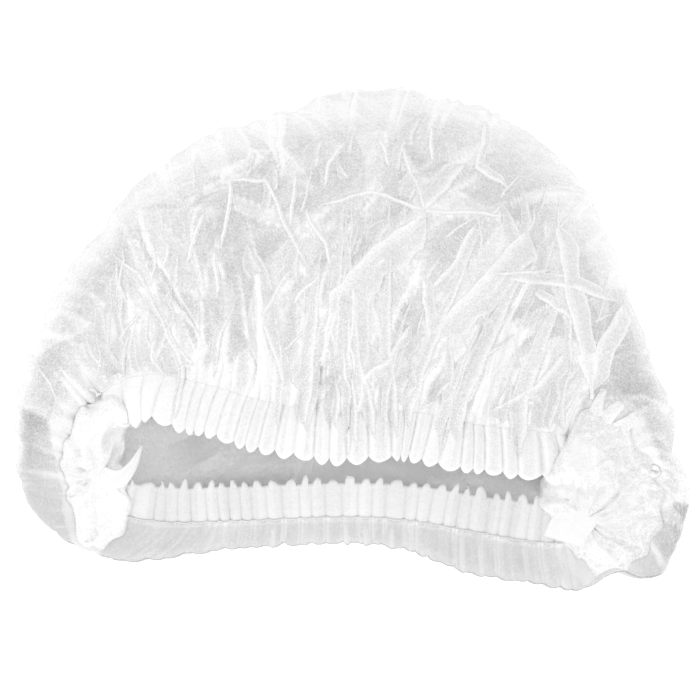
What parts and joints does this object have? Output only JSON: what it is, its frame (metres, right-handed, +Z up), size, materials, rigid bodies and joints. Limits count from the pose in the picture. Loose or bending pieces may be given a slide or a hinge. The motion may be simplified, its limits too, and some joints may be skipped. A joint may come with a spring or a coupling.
{
  "type": "disposable hair cover cap",
  "caption": "Soft pouch-shaped hair cover of thin nonwoven cloth with gathered elastic hems along its mouth, lying on a surface.",
  "frame": {"origin": "middle of the cap's bounding box in plan, on the surface that the cap lies on", "axes": "+X to the cap's right along the mouth, +Y from the mouth to the back of the crown, +Z up from the surface"},
  "size_m": [0.2496, 0.18, 0.0991],
  "materials": {
    "crown_cloth": "thin matt translucent nonwoven",
    "hem_cloth": "doubled and gathered matt nonwoven",
    "elastic": "matt"
  },
  "bodies": {
    "root": {"crown": "crown_cloth", "upper_hem": "hem_cloth", "lower_hem": "hem_cloth", "upper_elastic": "elastic", "lower_elastic": "elastic", "right_end_tab": "hem_cloth", "left_end_tail": "hem_cloth"}
  },
  "joints": []
}
